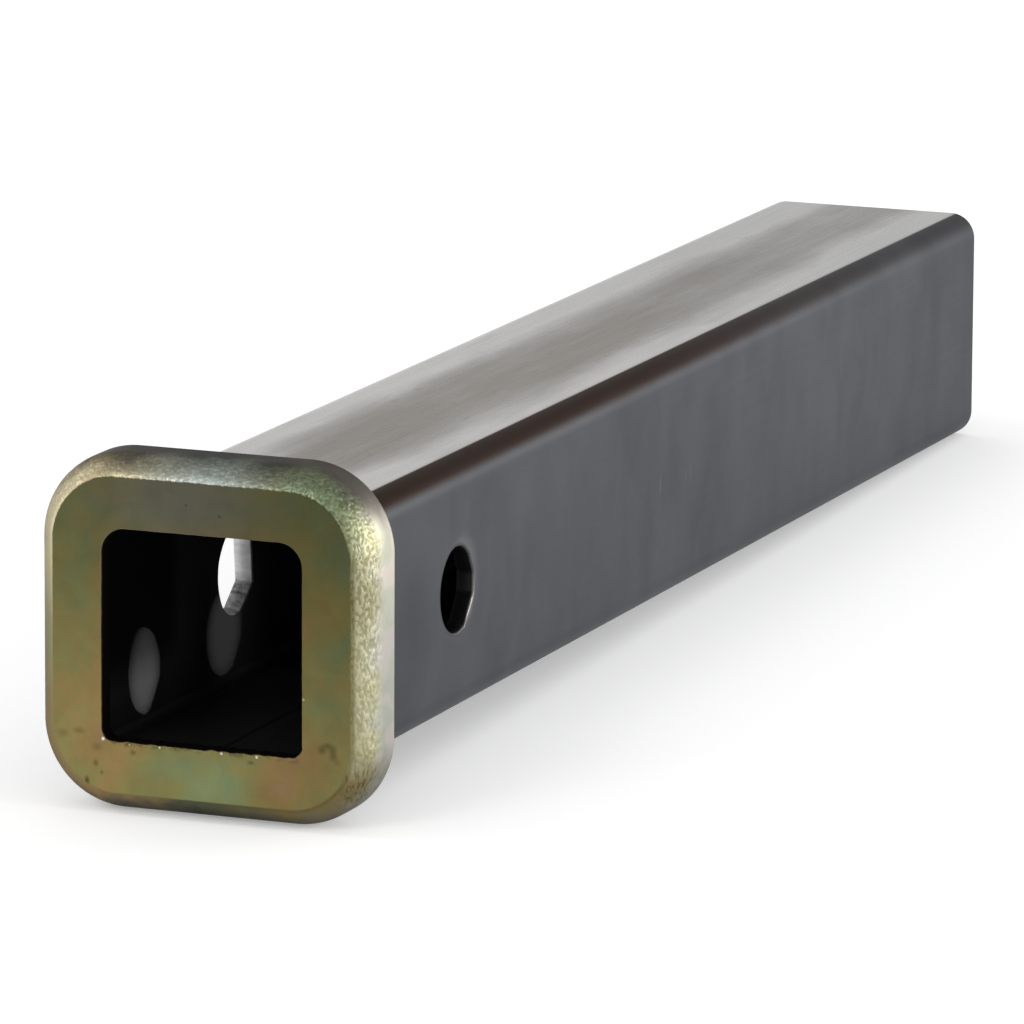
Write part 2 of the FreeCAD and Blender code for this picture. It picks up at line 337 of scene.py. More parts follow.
# ---- the collar
collarShape = {
    "corner": 13.8 * mm, "cornerSteps": 112,
    "roll": 5.8 * mm, "rollSteps": 46,
    "facing": 0.6 * mm, "facingReach": 0.0005 * mm,
    "backEdge": 0.5 * mm, "backSteps": 3, "backClear": 1.01,
    "grid": 0.19 * mm,                     # mesh size along the straight stretches
    "lumpSize": 3.4 * mm, "lumpDepth": 0.12 * mm,
    "grainSize": 0.38 * mm, "grainStretch": 1.9, "grainDepth": 0.10 * mm,
    "grainBend": (0.45, 0.8),              # how often and how far the grains curve
    "grainDetail": (2.1, 0.4),             # how much finer the detail is, and its share
    "grainRange": (-0.32, 0.36),           # noise at the valleys and on the grains
    # how deep the grain is round the collar, in degrees from the right by way of the top
    "grainStops": (
        (-200, 0.1), (-44, 0.12), (-22, 0.95), (30, 1.0), (60, 0.6),
        (90, 0.45), (125, 0.45), (160, 0.15), (200, 0.1),
    ),
    "grainHold": 0.5, "grainFade": 0.6, "grainLeast": 0.04,   # from the front to the flank
    "wanderSize": 4 * mm, "wanderTurn": 8, "wanderBack": 0.2,
    "lip": 3.2 * mm, "openingHalf": 16.8 * mm,
    "topCorner": 3.9 * mm, "topSteps": 10,
    "lowCorner": 1.9 * mm, "cutCorner": 1.6 * mm, "lowSteps": 5, "cutProfile": 0.42,
    "openingGrid": 0.45 * mm, "openingWobble": 0.05 * mm, "burrWobble": 0.22 * mm,
    "wobbleSize": 1.1 * mm, "swayWobble": 4.3 * mm, "swayShare": 0.6,
    "openingEdge": 0.16 * mm,
    "socketHalf": 21.1375 * mm, "socketCorner": 5.0 * mm, "socketSteps": 8,
    "smooth": 24,
}
collarMiddle = (collarLow.z + collarHigh.z) / 2


def makeCollar():
    shape = collarShape
    front, back = collarLow.y, collarHigh.y
    blankFront = front - shape["facing"]
    low = Vector((collarLow.x, blankFront, collarLow.z))
    collar = addBlock("forgedCollar", low, collarHigh)

    startEdit(collar)
    pickEdges(collar, alongAxis(1))
    bevelPicked(shape["corner"], shape["cornerSteps"])
    pickEdges(collar, onPlane(1, blankFront))
    bevelPicked(shape["roll"], shape["rollSteps"])
    pickEdges(collar, onPlane(1, back))
    bevelPicked(shape["backEdge"], shape["backSteps"])
    # the long faces between the corners get the same fine mesh
    straight = collarHigh.x - collarLow.x - 2 * shape["corner"]
    for axis in (0, 2):
        pickEdges(collar, alongAxis(axis, straight * longShare))
        bpy.ops.mesh.subdivide(number_cuts=int(straight / shape["grid"]))
    flank = back - front - shape["roll"] + shape["facing"] - shape["backEdge"]
    pickEdges(collar, alongAxis(1, flank * longShare))
    bpy.ops.mesh.subdivide(number_cuts=int(flank / shape["grid"]))
    endEdit()

    pebbleCollar(collar, front, back)

    # facing takes the front off flat, and its edge follows the pebbles
    startEdit(collar)
    bpy.ops.mesh.select_all(action="SELECT")
    bpy.ops.mesh.bisect(plane_co=(0, front, 0), plane_no=(0, 1, 0), use_fill=True,
                        clear_inner=True, threshold=shape["facingReach"])
    endEdit()
    for vertex in collar.data.vertices:
        if near(vertex.co.y, front):
            vertex.co.y = front

    cutAway(collar, makeOpeningCutter(front))
    cutAway(collar, makeSocketCutter(front + shape["lip"]))
    startEdit(collar)
    reach = shape["openingHalf"] + margin
    pickEdges(collar, lambda a, b: near(a.y, front) and near(b.y, front)
              and max(abs(a.x), abs(b.x)) < reach
              and max(abs(a.z - collarMiddle), abs(b.z - collarMiddle)) < reach)
    bevelPicked(shape["openingEdge"], 2)
    endEdit()
    tidyMesh(collar)
    smoothBy(collar, shape["smooth"])
    # the faced front stays flat right up to its edge
    startEdit(collar)
    pickEdges(collar, onPlane(1, front))
    bpy.ops.mesh.mark_sharp()
    endEdit()
    keepFlats(collar)
    return collar


def grainRound(side):
    # how deep the grain is at this angle round the collar
    stops = collarShape["grainStops"]
    for (start, low), (end, high) in zip(stops, stops[1:]):
        if side <= end:
            return low + (high - low) * smoothStep(start, end, side)
    return stops[-1][1]


def grainValley(place):
    # 0 on the grains and 1 in the valleys between them; the grains are taller than wide
    shape = collarShape
    grain = shape["grainSize"]
    often, far = shape["grainBend"]
    finer, share = shape["grainDetail"]
    point = Vector((place.x / grain, place.y / grain, place.z / (grain * shape["grainStretch"])))
    elsewhere = Vector((7, 3, 1))
    bend = Vector((noise.noise(point * often), noise.noise(point * often + elsewhere), 0))
    point += bend * far
    height = noise.noise(point) + share * noise.noise(point * finer)
    return 1 - smoothStep(*shape["grainRange"], height)


def pebbleCollar(collar, front, back):
    # the rolled edge is grained from the die, fading to the smooth flank
    shape = collarShape
    mesh = collar.data
    rollEnd = front - shape["facing"] + shape["roll"]
    flankEnd = back - shape["backEdge"] * shape["backClear"]
    normals = [vertex.normal.copy() for vertex in mesh.vertices]
    crease = mesh.attributes.new("crease", "FLOAT", "POINT")
    for vertex, normal in zip(mesh.vertices, normals):
        if vertex.co.y > flankEnd:
            continue
        behind = (vertex.co.y - front) / (rollEnd - front)
        side = math.degrees(math.atan2(vertex.co.z, vertex.co.x))
        wander = noise.noise(vertex.co / shape["wanderSize"])
        past = (behind + shape["wanderBack"] * wander - shape["grainHold"]) / shape["grainFade"]
        weight = grainRound(side + shape["wanderTurn"] * wander)
        weight *= min(1.0, max(shape["grainLeast"], 1.0 - past))
        valley = grainValley(vertex.co) * weight
        lump = 0.5 + 0.5 * noise.noise(vertex.co / shape["lumpSize"])
        vertex.co -= normal * (valley * shape["grainDepth"] + lump * weight * shape["lumpDepth"])
        crease.data[vertex.index].value = valley


def makeOpeningCutter(front):
    shape = collarShape
    half = shape["openingHalf"]
    floor = collarMiddle - half
    cutter = addBlock("openingCutter", Vector((-half, front - overrun, floor)),
                      Vector((half, front + shape["lip"] + margin, collarMiddle + half)))
    startEdit(cutter)
    long = alongAxis(1)
    pickEdges(cutter, lambda a, b: long(a, b) and a.z > collarMiddle)
    bevelPicked(shape["topCorner"], shape["topSteps"])
    pickEdges(cutter, lambda a, b: long(a, b) and near(a.z, floor) and near(a.x, -half))
    bevelPicked(shape["lowCorner"], shape["lowSteps"])
    pickEdges(cutter, lambda a, b: long(a, b) and near(a.z, floor) and near(a.x, half))
    bevelPicked(shape["cutCorner"], shape["lowSteps"], shape["cutProfile"])
    for axis in (0, 2):
        pickEdges(cutter, alongAxis(axis, half))
        bpy.ops.mesh.subdivide(number_cuts=int(2 * half / shape["openingGrid"]))
    endEdit()
    # uneven as forged, and rougher along the lower edge
    for vertex in cutter.data.vertices:
        place = Vector((vertex.co.x, 0, vertex.co.z))
        lower = vertex.co.z < collarMiddle - half * longShare
        wobble = shape["burrWobble"] if lower else shape["openingWobble"]
        push = noise.noise(place / shape["wobbleSize"])
        push += shape["swayShare"] * noise.noise(place / shape["swayWobble"])
        away = Vector((vertex.co.x, 0, vertex.co.z - collarMiddle)).normalized()
        vertex.co += away * push * wobble
    return cutter


def makeSocketCutter(start):
    shape = collarShape
    half = shape["socketHalf"]
    cutter = addBlock("socketCutter", Vector((-half, start, collarMiddle - half)),
                      Vector((half, collarHigh.y + overrun, collarMiddle + half)))
    startEdit(cutter)
    pickEdges(cutter, alongAxis(1))
    bevelPicked(shape["socketCorner"], shape["socketSteps"])
    endEdit()
    return cutter


# ---- the tube
tubeShape = {
    "corner": 4.5 * mm, "cornerSteps": 14,
    "wall": 3.175 * mm, "innerCorner": 1.4 * mm, "innerSteps": 6,
    "sawnEdge": 0.15 * mm,
    "seamWidth": 1.8 * mm, "seamHeight": 0.3 * mm, "seamSteps": 20, "seamShort": 0.4 * mm,
    "ripplePitch": 1.5 * mm, "rippleCuts": 3, "rippleCurve": 0.3, "rippleHeight": (0.8, 0.12),
    "seamSway": 0.25 * mm, "seamSwaySize": 19 * mm,
    "hole": 6.9 * mm, "holeSteps": 96, "holeEdge": 0.4 * mm, "holeEdgeSteps": 3,
    "flare": 0.5 * mm, "flareDepth": 1.6 * mm, "flareUneven": 0.3, "flareTurn": 25,
    # where the hole's outline bends, in degrees up from the back, seen from the right
    "nearBends": (48, 12, -14, -64), "farBends": (38, -26, -78),
    "bendReach": 0.25 * mm,
    "smooth": 30,
}


def facetedRadius(angle, bends, radius, reach):
    # a round hole with straight stretches between its bends
    for start, end in zip(bends, bends[1:]):
        if end <= angle <= start:
            half = math.radians(start - end) / 2
            middle = (start + end) / 2
            return (radius + reach) * math.cos(half) / math.cos(math.radians(angle - middle))
    return radius


def makeHoleCutter(side):
    # side is 1 for the right wall and -1 for the left
    shape = tubeShape
    inner = tubeHigh.x - shape["wall"]
    deep = inner + shape["flareDepth"]
    outer = tubeHigh.x + overrun
    bends = shape["nearBends"] if side > 0 else shape["farBends"]
    bpy.ops.object.select_all(action="DESELECT")
    bpy.ops.mesh.primitive_cylinder_add(
        vertices=shape["holeSteps"], radius=1, depth=1, end_fill_type="NGON",
        location=(0, 0, 0), rotation=(0, math.radians(90), 0))
    cutter = bpy.context.object
    cutter.name = "holeCutter"
    bpy.ops.object.transform_apply(location=True, rotation=True, scale=True)
    # five rings: the end, the mouth of the flare, its root, and two outside
    rings = (inner - overrun, inner, deep, (deep + outer) / 2, outer)
    widths = (shape["flare"], shape["flare"], 0, 0, 0)
    startEdit(cutter)
    pickEdges(cutter, alongAxis(0))
    bpy.ops.mesh.subdivide(number_cuts=len(rings) - 2)
    endEdit()
    for vertex in cutter.data.vertices:
        ring = round((vertex.co.x * side + 0.5) * (len(rings) - 1))
        angle = math.degrees(math.atan2(vertex.co.z, vertex.co.y))
        uneven = noise.noise(Vector((angle / shape["flareTurn"], side, 3)))
        radius = facetedRadius(angle, bends, shape["hole"], shape["bendReach"])
        radius += widths[ring] * (1 + shape["flareUneven"] * uneven)
        place = Vector((0, vertex.co.y, vertex.co.z)).normalized() * radius
        vertex.co = (rings[ring] * side, place.y, place.z)
    return cutter


def makeTube():
    shape = tubeShape
    tube = addBlock("squareSteelTube", tubeLow, tubeHigh)
    startEdit(tube)
    pickEdges(tube, alongAxis(1))
    bevelPicked(shape["corner"], shape["cornerSteps"])
    for end in (tubeLow.y, tubeHigh.y):
        pickEdges(tube, onPlane(1, end))
        bevelPicked(shape["sawnEdge"], 1)
    endEdit()
    wall = Vector((shape["wall"], -overrun, shape["wall"]))
    bore = addBlock("boreCutter", tubeLow + wall, tubeHigh - wall)
    startEdit(bore)
    pickEdges(bore, alongAxis(1))
    bevelPicked(shape["innerCorner"], shape["innerSteps"])
    endEdit()
    cutAway(tube, bore)
    cutAway(tube, makeSeamBead(), "UNION")
    limit = shape["hole"] + margin
    for side in (1, -1):
        cutAway(tube, makeHoleCutter(side))
        face = tubeHigh.x * side
        startEdit(tube)
        pickEdges(tube, lambda a, b: near(a.x, face) and near(b.x, face)
                  and max(a.yz.length, b.yz.length) < limit)
        bevelPicked(shape["holeEdge"], shape["holeEdgeSteps"])
        endEdit()
    tidyMesh(tube)
    smoothBy(tube, shape["smooth"])
    keepFlats(tube)
    return tube


def makeSeamBead():
    # a long low oval bar along the lower wall, with faint ripples
    shape = tubeShape
    floor = tubeLow.z + shape["wall"]
    half = shape["seamWidth"] / 2
    length = tubeHigh.y - tubeLow.y - shape["seamShort"]
    bpy.ops.object.select_all(action="DESELECT")
    bpy.ops.mesh.primitive_cylinder_add(
        vertices=shape["seamSteps"], radius=1, depth=length, end_fill_type="NGON",
        location=(0, (tubeLow.y + tubeHigh.y) / 2, floor),
        rotation=(math.radians(90), 0, 0), scale=(half, shape["seamHeight"], 1))
    bead = bpy.context.object
    bead.name = "seamBead"
    bpy.ops.object.transform_apply(location=True, rotation=True, scale=True)
    startEdit(bead)
    pickEdges(bead, alongAxis(1))
    bpy.ops.mesh.subdivide(number_cuts=int(length / shape["ripplePitch"] * shape["rippleCuts"]))
    endEdit()
    level, swing = shape["rippleHeight"]
    for vertex in bead.data.vertices:
        across = (vertex.co.x / half) ** 2
        phase = vertex.co.y / shape["ripplePitch"] - shape["rippleCurve"] * across
        ripple = math.sin(2 * math.pi * phase)
        sway = noise.noise(Vector((0, vertex.co.y / shape["seamSwaySize"], 0)))
        vertex.co.z = floor + (vertex.co.z - floor) * (level + swing * ripple)
        vertex.co.x += sway * shape["seamSway"]
    return bead


# ---- the weld behind the collar
weldShape = {
    "leg": 4.0 * mm, "slope": 3.7 * mm, "slopeSteps": 9, "crown": 0.36,
    "corner": 8.5 * mm, "cornerSteps": 48, "grid": 0.3 * mm,
    "ripplePitch": 1.7 * mm, "rippleDepth": 0.3 * mm, "rippleSharp": 1.5,
    "crescent": 1.9 * mm, "rippleFrom": 0.01,
    "wander": 0.2 * mm, "wanderSize": 6 * mm, "sagSize": 9 * mm,
    "smooth": 40,
}


def makeWeld():
    shape = weldShape
    weld = addBlock("collarWeldBead", weldLow, weldHigh)
    startEdit(weld)
    pickEdges(weld, alongAxis(1))
    bevelPicked(shape["corner"], shape["cornerSteps"])
    pickEdges(weld, onPlane(1, weldHigh.y))
    bevelPicked(shape["slope"], shape["slopeSteps"], shape["crown"])
    straight = weldHigh.x - weldLow.x - 2 * shape["corner"]
    for axis in (0, 2):
        pickEdges(weld, alongAxis(axis, straight * longShare))
        bpy.ops.mesh.subdivide(number_cuts=int(straight / shape["grid"]))
    endEdit()
    rippleWeld(weld)
    tubeInside = addBlock("weldCutter", Vector((tubeLow.x, weldLow.y - overrun, tubeLow.z)),
                          Vector((tubeHigh.x, weldHigh.y + overrun, tubeHigh.z)))
    startEdit(tubeInside)
    pickEdges(tubeInside, alongAxis(1))
    bevelPicked(tubeShape["corner"], tubeShape["cornerSteps"])
    endEdit()
    cutAway(weld, tubeInside)
    tidyMesh(weld)
    smoothBy(weld, shape["smooth"])
    keepFlats(weld)
    return weld


def rippleWeld(weld):
    # crescents stacked along the bead, always inwards of the bead's outline
    shape = weldShape
    normals = [vertex.normal.copy() for vertex in weld.data.vertices]
    ripple = weld.data.attributes.new("ripple", "FLOAT", "POINT")
    for vertex, normal in zip(weld.data.vertices, normals):
        back = (vertex.co.y - weldLow.y) / shape["leg"]
        if back < shape["rippleFrom"]:
            continue
        along = math.atan2(vertex.co.z, vertex.co.x) * weldHigh.x
        arch = shape["crescent"] * (1 - (2 * back - 1) ** 2)
        drift = shape["wander"] * 2 * noise.noise(vertex.co / shape["wanderSize"])
        phase = (along + arch + drift) / shape["ripplePitch"]
        hollow = (1 - (phase - math.floor(phase))) ** shape["rippleSharp"]
        ripple.data[vertex.index].value = hollow
        sag = shape["wander"] * 0.5 * (1 + noise.noise(vertex.co / shape["sagSize"]))
        vertex.co -= normal * (shape["rippleDepth"] * hollow + sag)


# ---- the tube's steel
# In the looks that follow, lengths are millimetres, and two or four numbers say where a fade
# starts and ends and its two levels. Grazing tones are those of metal seen at a low angle.
steelLook = {
    "sideTones": ((0.36, (0.072, 0.074, 0.079)), (0.62, (0.082, 0.085, 0.091))),
    "sideGrazing": ((0.34, (0.55, 0.56, 0.58)), (0.64, (0.63, 0.645, 0.67))),
    "smear": {"size": 9, "detail": 4, "roughness": 0.55, "distortion": 0.5, "scale": (1, 1, 0.55)},
    "broad": {"size": 30, "detail": 2},
    "smearShare": 0.55, "broadShare": 0.45,
    "grain": {"size": 1.2, "roughness": 0.6, "scale": (1, 0.04, 1)},
    "fine": {"size": 0.35, "detail": 2, "scale": (1, 0.05, 1)},
    # painted shade of the collar on the sides just behind it, and a darker tone near the far end
    "handled": (-20, -1, 17), "handledRear": (210, 245, 0.0, 0.4),
    "darkeningTone": (0.70, 0.70, 0.70),
    # short upright scratches on the right side: back, up, length, strength
    "scratches": (
        (90.8, 0.0, 2.4, 0.9), (103.0, -0.8, 2.0, 0.6), (105.2, 0.0, 2.6, 0.5),
        (86.9, -2.2, 1.8, 0.5), (63.0, 6.0, 2.2, 0.35), (146.0, -9.0, 2.4, 0.35),
        (181.0, 4.0, 2.6, 0.3),
    ),
    "scratchShape": (1, 0.07, 1),
    "scratched": (0.17, 0.175, 0.185), "scratchedGrazing": (0.92, 0.93, 0.95),
    # the top, from its brown middle to its pale edges
    "topTones": (
        (0.0, (0.195, 0.177, 0.154)), (0.45, (0.27, 0.26, 0.245)), (1.0, (0.44, 0.435, 0.425)),
    ),
    "topGrazing": (
        (0.0, (0.68, 0.675, 0.665)), (0.45, (0.76, 0.76, 0.76)), (1.0, (0.90, 0.90, 0.90)),
    ),
    "topDepth": (-0.12, -0.04), "leftBend": (-2.2, -0.6), "leftHalf": (1, -1), "rightHalf": (-1, 1),
    "streak": {"size": 5, "detail": 4, "roughness": 0.6, "distortion": 0.2, "scale": (1, 0.09, 1)},
    "patch": {"size": 13, "detail": 4, "roughness": 0.6, "distortion": 0.2,
              "scale": (1, 0.28, 1), "move": (0.2, 0.1, 0)},
    "streakShare": 0.6, "patchShare": 1.0,
    "leftPale": (-3, -14.5), "rightPale": (4, 15.5),
    "rearPale": (90, 230, 0.0, 0.40), "frontPale": (10, -25, 0.0, 0.28),
    "brown": (-18, 188, 55), "brownShift": -0.20,
    "dulling": (60, 220), "frontTone": (1.10, 1.09, 1.07), "rearTone": (0.86, 0.86, 0.86),
    "scuffs": {"size": 3.2, "detail": 4, "roughness": 0.65, "distortion": 1.6,
               "scale": (1, 0.3, 1), "move": (0.5, 0, 0)},
    "scuffRange": (0.60, 0.70), "scuffReach": (13, 8), "scuffShare": 0.35,
    "scuffed": (0.09, 0.075, 0.055),
    # the upper right bend: a brown tint of its own, painted darker as the dark reflection it shows;
    # and a painted highlight, the paler streak where the bend runs out
    "bend": (0.022, 0.013, 0.010), "bendGrazing": (0.66, 0.58, 0.55),
    "bendAcross": (-4.6, -4.2), "bendDown": (-3.6, -1.6), "bendBack": (70, 250, 1.0, 0.15),
    "runOut": (0.085, 0.085, 0.09), "runOutLower": (-5.4, -4.4), "runOutUpper": (-3.0, -3.9),
    "runOutAcross": (-1.2, -0.6), "runOutStreak": (1.2, -0.1),
    # the inside, painted darker than the outside as shade, and nearly black near the front, above
    # the front patch of light, as painted shade too
    "inside": (0.027, 0.027, 0.029), "insideFrom": (-3.0, -2.7, 1.0, 0.0),
    "soot": (0.003, 0.003, 0.003), "sootUp": (-11.5, -4.5, 0.0, 0.95), "sootBack": (-22, -27),
    # the hole's walls: bare and torn on the left; on the right painted dark as shade, a little
    # lighter at the outer edge, with a painted highlight on its pale rear rim
    "holeReach": (7.45, 7.6, 1.0, 0.0),
    "nearWallShade": (0.030, 0.030, 0.030), "nearEdge": (0.055, 0.055, 0.056),
    "nearRimHighlight": (0.12, 0.118, 0.115),
    "rimAcross": (-0.45, -0.3), "rimBack": (3.0, 5.5), "rimUp": (3, -1.5, 0.3, 1.0),
    "bareTones": (
        (0.2, (0.030, 0.030, 0.030)), (0.45, (0.42, 0.42, 0.425)), (0.75, (0.72, 0.72, 0.73)),
    ),
    "drag": {"size": 0.8, "roughness": 0.6, "scale": (0.12, 1, 1)}, "dragShare": (0.5, 0.35),
    "torn": {"size": 1.3, "roughness": 0.7}, "tornShare": 0.5, "tornUp": (-1.5, -3.5),
    # freshly sawn ends
    "sawnTones": (
        (0.35, (0.19, 0.19, 0.195)), (0.62, (0.30, 0.30, 0.31)), (0.72, (0.42, 0.42, 0.43)),
    ),
    "rearEnd": (-0.12, -0.02), "frontEnd": (0.02, 0.12, 1.0, 0.0),
    "saw": {"size": 0.5, "roughness": 0.7, "scale": (0.02, 1, 1), "turn": (0, math.radians(8), 0)},
    "metallic": 0.8, "specular": 0.35,
    "sideRough": 0.37, "topRough": 0.23, "grainRough": 0.08, "insideRough": 0.25,
    "bumpShares": (0.6, 0.4), "bump": (0.008 * mm, 0.2),
}


def steelMaterial():
    # dull mill scale, rubbed along the top, with bare metal where the hole was cut
    look = steelLook
    material, tree, shader = newMaterial("millSteel")
    place, x, y, z = objectPlace(tree)
    texture, over = readers(tree, place, look)
    half = tubeHigh.x
    grain = texture("grain")

    def onSide(back, up, radius, stretch=(1, 1, 1)):
        return spot(tree, place, Vector((half, back * mm, up * mm)), radius * mm, stretch)

    # the sides are slate grey with faint upright smears
    tone = plus(tree, times(tree, texture("smear"), look["smearShare"]),
                times(tree, texture("broad"), look["broadShare"]))
    colour = colours(tree, tone, look["sideTones"])
    grazing = colours(tree, tone, look["sideGrazing"])
    # painted shade: the sides reflect less just behind the collar, and also near the far end
    handled = larger(tree, onSide(*look["handled"]), over(y, "handledRear"))
    grazing = tinted(tree, grazing, look["darkeningTone"], handled)
    for back, up, length, strength in look["scratches"]:
        mark = times(tree, onSide(back, up, length, look["scratchShape"]), strength)
        colour = blend(tree, mark, colour, look["scratched"])
        grazing = blend(tree, mark, grazing, look["scratchedGrazing"])

    # the top was rubbed: paler along both long edges, browner and patchy in the middle
    leftBend = times(tree, over(z, "leftBend", half), over(x, "leftHalf"))
    onTop = larger(tree, over(z, "topDepth", half), leftBend)
    streak = texture("streak")
    rub = larger(tree, over(x, "leftPale"), over(x, "rightPale"))
    rub = plus(tree, rub, over(y, "rearPale"))
    rub = plus(tree, rub, over(y, "frontPale"))
    across, back, reach = look["brown"]
    brown = spot(tree, place, Vector((across * mm, back * mm, half)), reach * mm)
    rub = scaled(tree, brown, look["brownShift"], rub)
    rub = around(tree, streak, look["streakShare"], rub)
    rub = around(tree, texture("patch"), look["patchShare"], rub, clamp=True)
    top = colours(tree, rub, look["topTones"])
    top = tinted(tree, top, blend(tree, over(y, "dulling"), look["frontTone"], look["rearTone"]))
    scuff = times(tree, fade(tree, texture("scuffs"), *look["scuffRange"]),
                  over(absolute(tree, x), "scuffReach"), look["scuffShare"])
    top = blend(tree, scuff, top, look["scuffed"])
    colour = blend(tree, onTop, colour, top)
    grazing = blend(tree, onTop, grazing, colours(tree, rub, look["topGrazing"]))

    # painted dark reflection on the upper right bend, over its own brown tint
    bend = times(tree, over(x, "bendAcross", half), over(z, "bendDown", half),
                 calc(tree, "SUBTRACT", 1.0, onTop), over(y, "bendBack"))
    colour = blend(tree, bend, colour, look["bend"])
    # painted highlight where the bend runs out
    runOut = times(tree, over(z, "runOutLower", half), over(z, "runOutUpper", half),
                   over(x, "runOutAcross", half))
    runOut = calc(tree, "MULTIPLY", runOut, scaled(tree, streak, *look["runOutStreak"]), clamp=True)
    colour = blend(tree, runOut, colour, look["runOut"])

    # the inside painted dark as shade, and nearly black near the front as painted shade
    inX, inZ = (over(absolute(tree, value), "insideFrom", half) for value in (x, z))
    inside = times(tree, inX, inZ)
    soot = times(tree, over(z, "sootUp"), over(y, "sootBack"))
    colour = blend(tree, inside, colour, blend(tree, soot, look["inside"], look["soot"]))

    fromAxis = calc(tree, "SQRT", plus(tree, times(tree, y, y), times(tree, z, z)))
    wallOfHole = times(tree, over(fromAxis, "holeReach"), calc(tree, "SUBTRACT", 1.0, inside))
    torn = times(tree, over(z, "tornUp"), times(tree, texture("torn"), look["tornShare"]))
    bare = calc(tree, "SUBTRACT", scaled(tree, texture("drag"), *look["dragShare"]), torn)
    # the near hole's wall painted dark as shade, with a painted highlight on its rear rim
    rim = over(x, "rimAcross", half)
    rearRimHighlight = times(tree, rim, over(y, "rimBack"), over(z, "rimUp"))
    nearHoleShadeAndHighlight = blend(tree, rim, look["nearWallShade"], look["nearEdge"])
    nearHoleShadeAndHighlight = blend(tree, rearRimHighlight, nearHoleShadeAndHighlight, look["nearRimHighlight"])
    holeColour = blend(tree, over(x, "rightHalf"), colours(tree, bare, look["bareTones"]), nearHoleShadeAndHighlight)
    colour = blend(tree, wallOfHole, colour, holeColour)

    ends = larger(tree, over(y, "rearEnd", tubeHigh.y), over(y, "frontEnd", tubeLow.y))
    colour = blend(tree, ends, colour, colours(tree, texture("saw"), look["sawnTones"]))

    rough = fade(tree, onTop, 0.0, 1.0, look["sideRough"], look["topRough"])
    rough = scaled(tree, inside, look["insideRough"], rough)
    rough = scaled(tree, grain, look["grainRough"], rough)
    coarse, small = look["bumpShares"]
    height = plus(tree, times(tree, grain, coarse), times(tree, texture("fine"), small))
    connect(tree, shader, colour, rough, bump(tree, height, *look["bump"]), look["metallic"])
    shader.inputs["Specular IOR Level"].default_value = look["specular"]
    # the bend's reflections tinted brown, along with its painted dark reflection
    tint = blend(tree, bend, grazing, look["bendGrazing"])
    tree.links.new(tint, shader.inputs["Specular Tint"])
    return material


